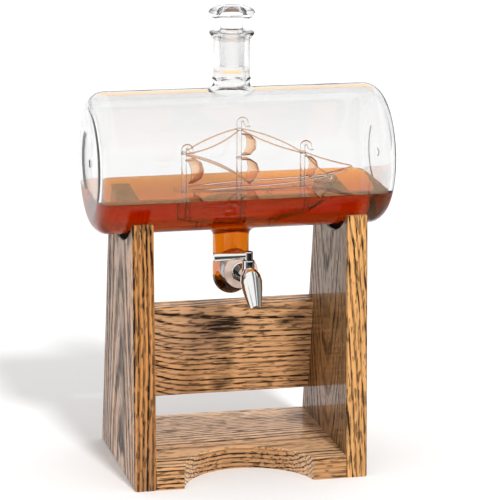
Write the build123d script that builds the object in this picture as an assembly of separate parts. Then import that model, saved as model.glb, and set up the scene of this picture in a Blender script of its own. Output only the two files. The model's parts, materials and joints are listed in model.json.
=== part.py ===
from build123d import *
import math
import os

# A spirit decanter: a glass barrel that holds a small glass ship lies in an oak stand, with a
# stoppered neck on top and a drop tube with a lever tap below.
# Millimetres. X runs along the barrel, +Y to the back of the stand and +Z up. The origin is on the
# table, under the barrel's axis and midway between the two sides of the stand.

# Clearances
rest_clearance = 0.3
fused_gap = 0.1
running_clearance = 0.05
hole_end_room = 0.5
overrun = 2.0

# Stand
barrel_overhang = 21.95
side_thickness = 15.2
side_height = 188.9
foot_front = 55.1
foot_rear = 74.2
top_front = 46.1
top_rear = 41.2
saddle_depth = 18.4
saddle_radius = 62.0
edge_bevel = 0.8
rail_bottom = 37.8
rail_height = 70.8
rail_thickness = 12.9
shelf_thickness = 16.0
notch_radius = 48.0
notch_setback = 10.9
notch_offset = -2.0
pad_thickness = 3.1
pad_width = 13.2
pad_half_span = 26.0
pad_bevel = 1.0
tenon_length = 8.0
tenon_thickness_share = 0.5
shelf_tenons_share = ((0.12, 0.42), (0.58, 0.88))
rail_tenon_share = (0.16, 0.84)

# Glass barrel
barrel_diameter = 100.0
barrel_length = 211.7
barrel_wall = 3.0
shoulder_radius = 12.7
dish_radius = 22.5
dish_ramp = 3.0
dish_depth = 1.3
nub_radius = 3.2
nub_height = 1.0
shoulder_steps = 4

# Neck and its ground socket, above the barrel's crown
neck_offset = -3.75
neck_diameter = 25.5
neck_bore = 19.2
neck_height = 40.1
neck_flare = 4.6
neck_inner_flare = 6.5
bead_height = 7.1
bead_width = 2.0
bead_rise = 0.9
socket_top_bore = 18.8
socket_length = 26.0
socket_taper = 0.1
socket_step = 3.0
flange_diameter = 31.5
flange_thickness = 1.6
flange_cone = 4.2
flange_bevel = 0.5

# Drop tube and side arm
tube_diameter = 25.6
tube_wall = 2.4
tube_foot_drop = 23.2
tube_flare = 6.0
tube_inner_flare = 7.5
arm_diameter = 24.4
arm_bore = 20.0
arm_reach = 30.0
arm_drop = 24.6
tube_bottom_steps = 4

# Stopper
stopper_plug_length = 24.0
stopper_bore = 11.0
stopper_stem_diameter = 15.9
stopper_stem_height = 6.4
stopper_head_diameter = 32.5
stopper_head_height = 12.2
stopper_rim_share = 0.58
stopper_waist_share = 0.18
stopper_crown_steps = 4
stopper_under_steps = 2

# Bung, washers, nut and tap shank, along the side arm
bung_head_diameter = 24.2
bung_head_thickness = 2.8
bung_length = 11.0
bung_bevel = 0.6
shank_diameter = 8.0
shank_bore = 3.2
washer_diameter = 15.0
washer_thickness = 1.2
nut_across_flats = 12.0
nut_thickness = 4.5
shank_end = 1.8
tap_flange_diameter = 14.4
tap_flange_thickness = 2.0
tap_flange_bevel = 0.5
tap_collar_diameter = 11.0
tap_collar_thickness = 2.6
tap_neck_diameter = 9.0

# Valve chamber, spout and bonnet, on the valve's upright axis
valve_lead = 16.3
chamber_diameter = 9.6
chamber_rise = 7.1
chamber_drop = 4.9
chamber_floor = 1.6
spigot_diameter = 7.0
spigot_height = 3.8
bonnet_diameter = 8.6
bonnet_height = 6.2
bonnet_roof = 1.9
bonnet_groove_depth = 0.3
bonnet_groove_width = 0.7
bonnet_bevel = 0.4
spout_top_lead = 2.0
spout_top_rise = 1.2
spout_lean = 19.5
spout_drop = 23.0
spout_mouth_diameter = 8.9
spout_belly_diameter = 15.2
spout_crown_diameter = 5.0
spout_belly_share = 0.37
spout_bore = 4.0
mouth_bore = 6.9
mouth_bore_depth = 5.0
spout_crown_steps = 3
spout_flank_steps = 4
spout_flank_power = 1.25

# Valve plug, its rings and the lever
plug_diameter = 5.0
port_diameter = 2.6
stem_diameter = 3.4
head_diameter = 6.3
head_height = 5.8
head_bevel = 0.4
seal_section = 0.8
seal_gap = 0.1
seal_place_share = 0.86
lever_reach = 25.0
lever_root_diameter = 4.0
lever_tip_diameter = 6.5
lever_spigot_diameter = 2.4
lever_spigot_length = 2.2
lever_bevel = 0.4

# Ship, in the barrel, lengths along X from the stern and heights above its lowest sheer
stern_room = 57.85
bow_room = 18.05
ship_sheer_drop = 19.3
ship_half_breadth = 9.5
ship_depth = 15.5
ship_sheer_rise = 3.6
hull_wall = 1.2
rod_sides = 8
hull_post_diameter = 4.4
hull_post_places_share = (0.14, 0.6)
hull_foot_gap = 0.2
hull_strakes = 8
mast_step_diameter = 5.2
mast_step_height = 1.6
# place along the hull, half breadth, depth and sheer rise of each frame, from stern to stem
hull_frames_share = (
    (0.0, 0.45, 0.56, -0.75),
    (0.062, 0.58, 0.68, -0.7),
    (0.22, 0.88, 0.9, -0.4),
    (0.407, 1.0, 0.98, -0.08),
    (0.6, 0.97, 0.98, 0.03),
    (0.809, 0.66, 0.8, 0.39),
    (0.93, 0.32, 0.5, 0.72),
    (1.0, 0.12, 0.2, 1.0),
)
mizzen_frame = 1
main_frame = 3
fore_frame = 5
gunwale_diameter = 1.2
sprit_diameter = 1.8
sprit_reach = 14.8
sprit_rise = 4.3
sprit_heel = 4.0
mast_diameter = 3.7
hook_radius = 2.4
curl_radius = 1.5
curl_angle = 120
collar_width = 1.8
collar_rise = 0.55
mizzen_height = 26.4
mizzen_collars_share = (0.917,)
main_height = 44.2
main_collars_share = (0.896, 0.439)
fore_height = 25.8
fore_collars_share = (0.829,)
sail_thickness = 0.7
sail_gap = 0.3
sail_steps = 5
# heights of top, belly and foot and reach of belly and foot, as shares of the mast's height
main_topsail_share = (0.821, 0.602, 0.468, 0.278, 0.052)
main_lower_share = (0.41, 0.188, 0.023, 0.326, 0.172)
mizzen_sail_share = (0.742, 0.356, 0.129, 0.53, 0.303)
fore_sail_share = (0.721, 0.318, 0.116, 0.426, 0.221)
main_sail_angles = (-15, 50)
mizzen_sail_angles = (-80, 20)
fore_sail_angles = (-4, 50)
stay_diameter = 1.0
stay_setback = 0.8
stay_spacing = 1.3
mizzen_stay_sag = 3.4
mizzen_stay_crown = 1.9
fore_stay_sag = 1.6
fore_stay_crown = 2.6
bow_stay_sag = 1.0
bow_stay_dip = 1.5
bow_stay_place_share = 0.965
hull_stay_crown = 3.2
hull_stay_place_share = 0.462

# Derived sizes and places
stand_width = barrel_length - 2 * barrel_overhang
inner_half = stand_width / 2 - side_thickness
saddle_floor = side_height - saddle_depth
barrel_radius = barrel_diameter / 2
barrel_z = saddle_floor + pad_thickness + rest_clearance + barrel_radius
crown_z = barrel_z + barrel_radius
neck_top = crown_z + neck_height
mast_radius = mast_diameter / 2
sheer_z = barrel_z - ship_sheer_drop
inner_end = barrel_length / 2 - barrel_wall
ship_stern = stern_room - inner_end
ship_length = inner_end - bow_room - sprit_reach - ship_stern
arm_height = barrel_z - barrel_radius - arm_drop
tube_bottom = arm_height - tube_foot_drop
mizzen_collars = [share * mizzen_height for share in mizzen_collars_share]
main_collars = [share * main_height for share in main_collars_share]
fore_collars = [share * fore_height for share in fore_collars_share]


def cylinder_up(diameter, start, end):
    """Upright cylinder between two heights."""
    upright = (Align.CENTER, Align.CENTER, Align.MIN)
    return Pos(0, 0, start) * Cylinder(diameter / 2, end - start, align=upright)


def lathe(points, axis=Axis.Z):
    """Solid turned from a closed outline of (radius, place) points."""
    if axis == Axis.Z:
        outline = [(radius, 0, place) for radius, place in points]
    else:
        outline = [(place, 0, radius) for radius, place in points]
    return revolve(make_face(Polyline(*outline, close=True)), axis)


def arc_points(centre, across, along, first, last, steps):
    """Points (radius, place) on an arc with two half axes, its angles in degrees from outward."""
    points = []
    for step in range(steps + 1):
        angle = math.radians(first + (last - first) * step / steps)
        points.append((centre[0] + across * math.cos(angle), centre[1] + along * math.sin(angle)))
    return points


def rod(path, diameter):
    """Thin drawn rod along a path."""
    section = Rot(0, 0, 180 / rod_sides) * RegularPolygon(diameter / 2, rod_sides)
    return sweep((path ^ 0) * section, path=path, transition=Transition.RIGHT)


def eased_path(points, ease_share=0.45):
    """Straight runs through the points, joined by tangent arcs as large as the runs allow."""
    corners = [Vector(*point) for point in points]
    radii = []
    for before, corner, after in zip(corners, corners[1:], corners[2:]):
        turn = math.radians((corner - before).get_angle(after - corner))
        shorter = min((corner - before).length, (after - corner).length)
        radii.append(ease_share * shorter / math.tan(turn / 2))
    return FilletPolyline(*corners, radius=radii)


# Stand


def front_at(height):
    """How far the leaning front edge of a side stands forward at a height."""
    return foot_front + (top_front - foot_front) * height / side_height


def rear_at(height):
    """How far back the leaning rear edge of a side stands at a height."""
    return foot_rear + (top_rear - foot_rear) * height / side_height


def side_profile():
    """Outline of a side in the YZ plane, without its saddle."""
    return make_face(
        Polyline(
            (0, -foot_front, 0),
            (0, foot_rear, 0),
            (0, top_rear, side_height),
            (0, -top_front, side_height),
            close=True,
        )
    )


def rail_axes():
    """Unit vector up the rear edge and unit vector forward, square to it."""
    up = Vector(0, top_rear - foot_rear, side_height).normalized()
    return up, Vector(0, -up.Z, up.Y)


def rail_point(along, forward):
    """Point of the rail's section, along the rear edge from the rail's foot and forward from it."""
    up, ahead = rail_axes()
    foot = Vector(0, rear_at(rail_bottom), rail_bottom)
    return foot + up * along + ahead * forward


def tenons(section, room):
    """Stub tenons on both ends of a board, or with a room the mortises that take them."""
    reach = inner_half + tenon_length + room
    return extrude(Pos(-reach, 0, 0) * section, amount=2 * reach, dir=(1, 0, 0))


def shelf_tenons(room=0.0, slack=0.0):
    """Two wide stub tenons in the middle of the shelf's thickness."""
    front, rear = -front_at(shelf_thickness), rear_at(shelf_thickness)
    half = tenon_thickness_share * shelf_thickness / 2 + slack
    low, high = shelf_thickness / 2 - half, shelf_thickness / 2 + half
    pieces = []
    for first, last in shelf_tenons_share:
        near = front + first * (rear - front) - slack
        far = front + last * (rear - front) + slack
        corners = [(0, near, low), (0, far, low), (0, far, high), (0, near, high)]
        pieces.append(tenons(make_face(Polyline(*corners, close=True)), room))
    return pieces


def rail_tenons(room=0.0, slack=0.0):
    """One stub tenon in the middle of the rail's thickness."""
    first, last = rail_tenon_share
    inset = (1 - tenon_thickness_share) * rail_thickness / 2 - slack
    section = rail_section(first * rail_height - slack, last * rail_height + slack, inset)
    return [tenons(section, room)]


def saddle_z():
    return saddle_floor + saddle_radius


def stand_side(hand):
    """Tapered oak side with its saddle, bevelled edges and mortises for shelf and rail."""
    outer = hand * stand_width / 2
    face = Pos(outer - hand * side_thickness, 0, 0) * side_profile()
    panel = extrude(face, amount=side_thickness, dir=(hand, 0, 0))
    scoop = Rot(0, 90, 0) * Cylinder(saddle_radius, stand_width + 2 * overrun)
    panel -= Pos(0, 0, saddle_z()) * scoop
    skins = panel.faces().filter_by(Axis.X)
    panel = chamfer(skins.edges(), edge_bevel)
    room, slack = hole_end_room, running_clearance
    for mortise in shelf_tenons(room, slack) + rail_tenons(room, slack):
        panel -= mortise
    return panel


def rail_section(bottom, top, inset):
    """Section of the rail between two places along it, drawn in from its faces by an inset."""
    corners = [
        rail_point(bottom, inset),
        rail_point(top, inset),
        rail_point(top, rail_thickness - inset),
        rail_point(bottom, rail_thickness - inset),
    ]
    return make_face(Polyline(*corners, close=True))


def back_rail():
    """Board that leans with the rear edges of the sides, with a stub tenon at each end."""
    section = Pos(-inner_half, 0, 0) * rail_section(0, rail_height, 0)
    rail = extrude(section, amount=2 * inner_half, dir=(1, 0, 0))
    rail = chamfer(rail.edges().filter_by(Axis.X), edge_bevel)
    for tenon in rail_tenons():
        rail += tenon
    return rail


def notch():
    """Round cutter for the shelf's notch, flared to bevel the upper edge."""
    top = shelf_thickness + overrun
    points = [
        (0, -overrun),
        (notch_radius, -overrun),
        (notch_radius, shelf_thickness - edge_bevel),
        (notch_radius + edge_bevel + overrun, top),
        (0, top),
    ]
    return lathe(points)


def base_shelf():
    """Bottom board with stub tenons and a round notch at the front for a glass."""
    section = make_face(
        Polyline(
            (0, -foot_front, 0),
            (0, foot_rear, 0),
            (0, rear_at(shelf_thickness), shelf_thickness),
            (0, -front_at(shelf_thickness), shelf_thickness),
            close=True,
        )
    )
    shelf = extrude(Pos(-inner_half, 0, 0) * section, amount=2 * inner_half, dir=(1, 0, 0))
    shelf = chamfer(shelf.edges().filter_by(Axis.X).group_by(Axis.Z)[-1], edge_bevel)
    for tenon in shelf_tenons():
        shelf += tenon
    return shelf - Pos(notch_offset, -front_at(shelf_thickness) - notch_setback, 0) * notch()


def saddle_pad(hand):
    """Rubber cradle that fills the crescent between the saddle and the barrel."""
    middle = hand * (stand_width - side_thickness) / 2
    outer = Cylinder(saddle_radius - running_clearance, pad_width)
    inner = Cylinder(barrel_radius + rest_clearance, pad_width + 2 * overrun)
    tall = barrel_z - saddle_floor
    lane = Pos(0, 0, saddle_floor + tall / 2) * Box(pad_width, 2 * pad_half_span, tall)
    pad = (Pos(0, 0, saddle_z()) * Rot(0, 90, 0) * outer) & lane
    pad -= Pos(0, 0, barrel_z) * Rot(0, 90, 0) * inner
    lips = [edge for edge in pad.edges().filter_by(Axis.X) if edge.center().Z > saddle_floor]
    pad = chamfer(lips, pad_bevel)
    return Pos(middle, 0, 0) * pad


# Glass vessel


def barrel_solid(radius, half_length, shoulder, dished):
    """Barrel with rounded shoulders; each end has a shallow dish with a nub if it is dished."""
    centre = (radius - shoulder, half_length - shoulder)
    right = arc_points(centre, shoulder, shoulder, 0, 90, shoulder_steps)
    if dished:
        dish_x = half_length - dish_depth
        right += [(dish_radius + dish_ramp, half_length), (dish_radius, dish_x)]
        right += [(nub_radius, dish_x), (nub_radius / 2, dish_x + nub_height), (0, dish_x + nub_height)]
    else:
        right += [(0, half_length)]
    left = [(r, -x) for r, x in reversed(right)]
    # the seam of the round faces lies at the back, away from the neck and the drop tube
    return Pos(0, 0, barrel_z) * Rot(-90, 0, 0) * lathe(right + left, Axis.X)


def neck_solid():
    """Outside of the neck: tube, bead, cone and flange."""
    tube = neck_diameter / 2
    flange = flange_diameter / 2
    cone_top = neck_top - flange_thickness
    bead_z = crown_z + bead_height
    points = [
        (0, barrel_z),
        (tube, barrel_z),
        (tube, bead_z - bead_width / 2),
        (tube + bead_rise, bead_z),
        (tube, bead_z + bead_width / 2),
        (tube, cone_top - flange_cone),
        (flange, cone_top),
        (flange, neck_top - flange_bevel),
        (flange - flange_bevel, neck_top),
        (0, neck_top),
    ]
    return lathe(points)


def socket_radius(height):
    """Radius of the ground socket's taper at a height."""
    return socket_top_bore / 2 - (neck_top - height) * socket_taper / 2


def neck_bore_solid():
    """Inside of the neck: plain bore, step and ground taper, which runs out past the flange."""
    bore = neck_bore / 2
    taper_bottom = neck_top - socket_length
    outer_end = neck_top + overrun
    points = [
        (0, barrel_z),
        (bore, barrel_z),
        (bore, taper_bottom - socket_step),
        (socket_radius(taper_bottom), taper_bottom),
        (socket_radius(outer_end), outer_end),
        (0, outer_end),
    ]
    return lathe(points)


def tube_solid(diameter, bottom):
    """Round-bottomed tube from the barrel's axis down."""
    radius = diameter / 2
    rounded = arc_points((0, bottom + radius), radius, radius, -90, 0, tube_bottom_steps)
    return lathe(rounded + [(radius, barrel_z), (0, barrel_z)])


def arm_solid(diameter, reach):
    """Cylinder forward from the drop tube's axis."""
    upright = (Align.CENTER, Align.CENTER, Align.MIN)
    return Pos(0, 0, arm_height) * Rot(90, 0, 0) * Cylinder(diameter / 2, reach, align=upright)


def hollow_form(barrel, neck, tube, arm, neck_round, tube_round):
    """Barrel, neck, drop tube and arm joined, with flowing fillets on the barrel."""
    form = barrel + neck
    form = fillet(new_edges(barrel, neck, combined=form), neck_round)
    joined = form + tube
    joined = fillet(new_edges(form, tube, combined=joined), tube_round)
    return joined + arm


def glass_vessel():
    """Barrel, neck, drop tube and side arm, blown as one piece."""
    at_neck = Pos(neck_offset, 0, 0)
    outer = hollow_form(
        barrel_solid(barrel_radius, barrel_length / 2, shoulder_radius, True),
        at_neck * neck_solid(),
        at_neck * tube_solid(tube_diameter, tube_bottom),
        at_neck * arm_solid(arm_diameter, arm_reach),
        neck_flare,
        tube_flare,
    )
    inner = hollow_form(
        barrel_solid(
            barrel_radius - barrel_wall,
            barrel_length / 2 - barrel_wall,
            shoulder_radius - barrel_wall,
            False,
        ),
        at_neck * neck_bore_solid(),
        at_neck * tube_solid(tube_diameter - 2 * tube_wall, tube_bottom + tube_wall),
        at_neck * arm_solid(arm_bore, arm_reach + overrun),
        neck_inner_flare,
        tube_inner_flare,
    )
    return outer - inner


def stopper():
    """Hollow ground plug, short stem and mushroom head."""
    plug_bottom = neck_top - stopper_plug_length
    head_bottom = neck_top + stopper_stem_height
    head_top = head_bottom + stopper_head_height
    head = stopper_head_diameter / 2
    stem = stopper_stem_diameter / 2
    rim_z = head_bottom + stopper_rim_share * stopper_head_height
    waist_z = head_bottom + stopper_waist_share * stopper_head_height
    plug = socket_radius(neck_top) - running_clearance
    under = arc_points((stem, rim_z), head - stem, rim_z - waist_z, -90, 0, stopper_under_steps)
    crown = arc_points((0, rim_z), head, head_top - rim_z, 0, 90, stopper_crown_steps)
    outline = [
        (stopper_bore / 2, plug_bottom),
        (socket_radius(plug_bottom) - running_clearance, plug_bottom),
        (plug, neck_top),
        (stem, neck_top + plug - stem),
    ]
    outline += under + crown[1:] + [(0, neck_top), (stopper_bore / 2, neck_top)]
    return Pos(neck_offset, 0, 0) * lathe(outline)


# Tap, along the side arm


def arm_ring(outer, start, end, bore=0):
    """Ring along the arm between two distances forward from the drop tube's axis."""
    body = cylinder_up(outer, start, end)
    if bore:
        body -= cylinder_up(bore, start - overrun, end + overrun)
    return body


def along_arm(solid):
    """Place a solid made along Z on the arm's axis, with its top forward."""
    return Pos(neck_offset, 0, arm_height) * Rot(90, 0, 0) * solid


bung_seat = arm_reach + fused_gap
bung_face = bung_seat + bung_head_thickness
flange_seat = bung_face + fused_gap
flange_face = flange_seat + tap_flange_thickness
bung_back = arm_reach - bung_length
washer_back = bung_back - fused_gap - washer_thickness
nut_back = washer_back - fused_gap - nut_thickness
shank_back = nut_back - shank_end
shank_hole = shank_diameter + 2 * running_clearance
collar_start = flange_face + fused_gap
collar_end = collar_start + tap_collar_thickness
valve_reach = collar_end + valve_lead
valve_y = -valve_reach
chamber_top = arm_height + chamber_rise
chamber_bottom = arm_height - chamber_drop


def tap_bung():
    """Silicone plug in the arm's mouth, with a wide head over its rim."""
    plug = arm_bore / 2 - running_clearance
    head = bung_head_diameter / 2
    hole = shank_hole / 2
    points = [
        (hole, bung_back),
        (plug, bung_back),
        (plug, bung_seat),
        (head, bung_seat),
        (head, bung_face - bung_bevel),
        (head - bung_bevel, bung_face),
        (hole, bung_face),
    ]
    return along_arm(lathe(points))


def shank_washer():
    return along_arm(arm_ring(washer_diameter, washer_back, washer_back + washer_thickness, shank_hole))


def shank_nut():
    """Hexagon nut that draws the washer against the bung."""
    across = nut_across_flats / 2
    blank = extrude(Pos(0, 0, nut_back) * RegularPolygon(across, 6, major_radius=False), nut_thickness)
    blank -= cylinder_up(shank_hole, nut_back - overrun, nut_back + nut_thickness + overrun)
    return along_arm(blank)


def tap_flange():
    """Polished washer between the bung's head and the tap."""
    rim = tap_flange_diameter / 2
    points = [
        (shank_hole / 2, flange_seat),
        (rim, flange_seat),
        (rim, flange_face - tap_flange_bevel),
        (rim - tap_flange_bevel, flange_face),
        (shank_hole / 2, flange_face),
    ]
    return along_arm(lathe(points))


def spout_top():
    return Vector(neck_offset, valve_y - spout_top_lead, chamber_top + spout_top_rise)


def spout_mouth():
    return spout_top() + Vector(0, -spout_lean, -spout_drop)


def spout_frame():
    """Plane at the top of the spout, facing down its leaning axis, and the length to its mouth."""
    way = spout_mouth() - spout_top()
    return Plane(origin=spout_top(), x_dir=(1, 0, 0), z_dir=way), way.length


def spout_solid():
    """Pear-shaped spout, full behind its crown and drawn in towards its level mouth."""
    plane, length = spout_frame()
    belly = spout_belly_diameter / 2
    mouth = spout_mouth_diameter / 2
    belly_z = spout_belly_share * length
    crown_angle = math.degrees(math.acos(spout_crown_diameter / spout_belly_diameter))
    points = arc_points((0, belly_z), belly, -belly_z, crown_angle, 0, spout_crown_steps)
    # the flank runs on past the mouth, so that the level cut goes through it
    end = length + mouth
    for step in range(1, spout_flank_steps + 1):
        place = belly_z + (end - belly_z) * step / spout_flank_steps
        drawn_in = ((place - belly_z) / (length - belly_z)) ** spout_flank_power
        points.append((belly - (belly - mouth) * drawn_in, place))
    pear = plane * lathe(points + [(0, end), (0, points[0][1])])
    side = 2 * valve_reach
    return pear - Pos(0, 0, -side / 2) * Pos(spout_mouth()) * Box(side, side, side)


def tap_body():
    """Shank, valve chamber, spigot for the bonnet and spout, with the waterway bored through."""
    body = cylinder_up(shank_diameter, shank_back, collar_end)
    body += cylinder_up(tap_collar_diameter, collar_start, collar_end)
    body += cylinder_up(tap_neck_diameter, collar_start, valve_reach)
    body = along_arm(body)
    at_valve = Pos(neck_offset, valve_y, 0)
    spigot_top = chamber_top + spigot_height
    body += at_valve * cylinder_up(chamber_diameter, chamber_bottom, chamber_top)
    body += at_valve * cylinder_up(spigot_diameter, chamber_top, spigot_top)
    body += spout_solid() - at_valve * bonnet_seat()
    bore = plug_diameter + 2 * running_clearance
    body -= at_valve * cylinder_up(bore, chamber_bottom + chamber_floor, spigot_top + overrun)
    body -= along_arm(cylinder_up(shank_bore, shank_back - overrun, valve_reach))
    start = Vector(neck_offset, valve_y, chamber_bottom + chamber_floor)
    way = spout_mouth() - start
    waterway = Plane(origin=start, x_dir=(1, 0, 0), z_dir=way)
    body -= waterway * cylinder_up(spout_bore, 0, way.length)
    body -= waterway * cylinder_up(mouth_bore, way.length - mouth_bore_depth, way.length + mouth_bore)
    return body


def bonnet_seat():
    """Room that the bonnet takes, with its clearance."""
    room = bonnet_diameter + 2 * rest_clearance
    return cylinder_up(room, chamber_top, chamber_top + bonnet_height + overrun)


def tap_bonnet():
    """Cap over the spigot, with a turned groove round its middle."""
    bottom = chamber_top + fused_gap
    top = chamber_top + bonnet_height
    roof = top - bonnet_roof
    outer = bonnet_diameter / 2
    groove = (chamber_top + top - bonnet_groove_width) / 2
    spigot = spigot_diameter / 2 + running_clearance
    stem = stem_diameter / 2 + running_clearance
    points = [
        (spigot, bottom),
        (outer, bottom),
        (outer, groove),
        (outer - bonnet_groove_depth, groove),
        (outer - bonnet_groove_depth, groove + bonnet_groove_width),
        (outer, groove + bonnet_groove_width),
        (outer, top - bonnet_bevel),
        (outer - bonnet_bevel, top),
        (stem, top),
        (stem, roof),
        (spigot, roof),
    ]
    return Pos(neck_offset, valve_y, 0) * lathe(points)


plug_bottom_z = chamber_bottom + chamber_floor + rest_clearance
plug_top_z = chamber_top + bonnet_height - bonnet_roof - rest_clearance
head_bottom_z = chamber_top + bonnet_height + rest_clearance
lever_z = head_bottom_z + head_height / 2
seal_z = plug_bottom_z + seal_place_share * (plug_top_z - plug_bottom_z)


def valve_plug():
    """Plug with its L-shaped port and ring groove, its stem and its head, in one piece."""
    head_top = head_bottom_z + head_height
    plug = plug_diameter / 2
    stem = stem_diameter / 2
    head = head_diameter / 2
    points = [
        (0, plug_bottom_z),
        (plug, plug_bottom_z),
        (plug, seal_z - seal_section / 2 - seal_gap),
        (plug - seal_section - seal_gap, seal_z - seal_section / 2 - seal_gap),
        (plug - seal_section - seal_gap, seal_z + seal_section / 2 + seal_gap),
        (plug, seal_z + seal_section / 2 + seal_gap),
        (plug, plug_top_z),
        (stem, plug_top_z),
        (stem, head_bottom_z),
        (head - head_bevel, head_bottom_z),
        (head, head_bottom_z + head_bevel),
        (head, head_top - head_bevel),
        (head - head_bevel, head_top),
        (0, head_top),
    ]
    solid = lathe(points)
    solid -= cylinder_up(port_diameter, plug_bottom_z - overrun, arm_height)
    across = cylinder_up(port_diameter, 0, plug_diameter)
    solid -= Pos(0, 0, arm_height) * Rot(0, 90, 0) * across
    reach = head - lever_spigot_length - hole_end_room
    socket = cylinder_up(lever_spigot_diameter + 2 * running_clearance, reach, head_diameter)
    solid -= Pos(0, 0, lever_z) * Rot(0, -90, 0) * socket
    return Pos(neck_offset, valve_y, 0) * solid


def valve_seal():
    """Ring in the plug's groove, flush with its skin."""
    plug = plug_diameter / 2
    half = seal_section / 2
    points = [
        (plug - seal_section, seal_z - half),
        (plug, seal_z - half),
        (plug, seal_z + half),
        (plug - seal_section, seal_z + half),
    ]
    return Pos(neck_offset, valve_y, 0) * lathe(points)


def lever_bar():
    """Tapered bar, thickest at its free end, with a spigot into the head."""
    root = head_diameter / 2
    tip = lever_tip_diameter / 2
    points = [
        (0, 0),
        (lever_root_diameter / 2, 0),
        (tip, lever_reach - lever_bevel),
        (tip - lever_bevel, lever_reach),
        (0, lever_reach),
    ]
    bar = lathe(points) - Rot(0, 90, 0) * Cylinder(root + running_clearance, 2 * lever_reach)
    bar += cylinder_up(lever_spigot_diameter, root - lever_spigot_length, root + lever_spigot_length)
    return Pos(neck_offset, valve_y, lever_z) * Rot(0, -90, 0) * bar


# Ship


def frame_place(index):
    """X, half breadth, keel height and sheer height of a frame of the hull."""
    place, breadth, depth, rise = hull_frames_share[index]
    sheer = sheer_z + rise * ship_sheer_rise
    return (
        ship_stern + place * ship_length,
        breadth * ship_half_breadth,
        sheer - depth * ship_depth,
        sheer,
    )


def hull_form(inset, lift):
    """Boat form lofted through its frames, drawn in by an inset and raised at the sheer."""
    sections = []
    for index in range(len(hull_frames_share)):
        x, breadth, keel, sheer = frame_place(index)
        half = max(breadth - inset, breadth * inset / ship_half_breadth)
        top = sheer + lift
        depth = max(top - keel - inset, lift + (sheer - keel) * inset / ship_depth)
        points = arc_points((0, 0), half, depth, 180, 360, hull_strakes)
        section = make_face(Polyline(*points, close=True))
        sections.append(Plane(origin=(x, 0, top), x_dir=(0, 1, 0), z_dir=(1, 0, 0)) * section)
    return loft(sections, ruled=True)


def ship_hull():
    """Open boat with steps for the masts, on two posts that stand on the barrel's floor."""
    hull = hull_form(0, 0)
    floor_z = barrel_z - barrel_radius + barrel_wall + hull_foot_gap
    for share in hull_post_places_share:
        post = cylinder_up(hull_post_diameter, floor_z, sheer_z - ship_depth / 2)
        hull += Pos(ship_stern + share * ship_length, 0, 0) * post
    trim = ship_length - 2 * hull_wall
    middle = Pos(ship_stern + ship_length / 2, 0, sheer_z)
    hull -= hull_form(hull_wall, overrun) & (middle * Box(trim, ship_length, ship_length))
    for index in (mizzen_frame, main_frame, fore_frame):
        x, _, keel, _ = frame_place(index)
        hull += Pos(x, 0, 0) * cylinder_up(mast_step_diameter, keel + hull_wall / 2, step_top(index))
    return hull


def step_top(index):
    """Height of the flat on which a mast stands."""
    return frame_place(index)[2] + hull_wall + mast_step_height


def mast(index, height, collars):
    """Mast with a curled hook at the top and its fused collars."""
    top = sheer_z + height
    foot = step_top(index) + fused_gap
    blank = Rot(0, 0, 180 / rod_sides) * RegularPolygon(mast_radius, rod_sides)
    stick = extrude(Pos(0, 0, foot) * blank, amount=top - foot)
    bend = JernArc((0, 0), (0, 1), hook_radius, -180)
    curl = JernArc(bend @ 1, bend % 1, curl_radius, curl_angle)
    path = Plane(origin=(0, 0, top), x_dir=(1, 0, 0), z_dir=(0, -1, 0)) * Wire([bend.edge(), curl.edge()])
    stick += rod(path, mast_diameter)
    for collar in collars:
        stick += Pos(0, 0, sheer_z + collar) * mast_collar()
    return Pos(frame_place(index)[0], 0, 0) * stick


def mast_collar():
    """Bulge melted on to a mast where the stays meet it."""
    half = collar_width / 2
    bulge = (mast_radius + collar_rise, 0)
    return lathe([(0, -half), (mast_radius, -half), bulge, (mast_radius, half), (0, half)])


def masts():
    return [
        mast(mizzen_frame, mizzen_height, mizzen_collars),
        mast(main_frame, main_height, main_collars),
        mast(fore_frame, fore_height, fore_collars),
    ]


def sail(index, mast_height, form_share, angles):
    """Bowed sheet of glass turned about its mast between two angles in degrees."""
    top_rise, belly_rise, foot_rise, belly, foot = [share * mast_height for share in form_share]
    first, last = angles
    least = mast_radius + sail_gap
    bow = ThreePointArc(
        (least, 0, sheer_z + top_rise),
        (belly, 0, sheer_z + belly_rise),
        (max(foot, least), 0, sheer_z + foot_rise),
    )
    outer = [bow @ (step / sail_steps) for step in range(sail_steps + 1)]
    inner_share = 1 - sail_thickness / bow.radius
    inner = [bow.arc_center + (point - bow.arc_center) * inner_share for point in outer]
    sheet = make_face(Polyline(*outer, *reversed(inner), close=True))
    sheet = revolve(sheet, Axis.Z, revolution_arc=last - first)
    return Pos(frame_place(index)[0], 0, 0) * Rot(0, 0, first) * sheet


def sails():
    return [
        sail(mizzen_frame, mizzen_height, mizzen_sail_share, mizzen_sail_angles),
        sail(main_frame, main_height, main_topsail_share, main_sail_angles),
        sail(main_frame, main_height, main_lower_share, main_sail_angles),
        sail(fore_frame, fore_height, fore_sail_share, fore_sail_angles),
    ]


def sheer_point(share, hand, clear=0.0):
    """Point on the gunwale's centre line, at a share of the ship's length."""
    radius = gunwale_diameter / 2 + fused_gap + clear
    x = ship_stern + share * ship_length
    frames = [frame_place(index) for index in range(len(hull_frames_share))]
    for (x0, b0, _, s0), (x1, b1, _, s1) in zip(frames, frames[1:]):
        if x0 <= x <= x1:
            blend = (x - x0) / (x1 - x0)
            breadth = b0 + blend * (b1 - b0)
            sheer = s0 + blend * (s1 - s0)
    least = sprit_diameter / 2 + gunwale_diameter / 2 + fused_gap
    return (x, hand * max(breadth, least), sheer + radius)


def sprit_ends():
    """Heel and tip of the bowsprit's centre line."""
    x, _, _, sheer = frame_place(-1)
    lift = sprit_diameter / 2 + rest_clearance
    slope = sprit_rise / sprit_reach
    heel = (x - sprit_heel, 0, sheer + lift)
    tip = (x + sprit_reach, 0, sheer + lift + slope * sprit_reach)
    return heel, tip


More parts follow.
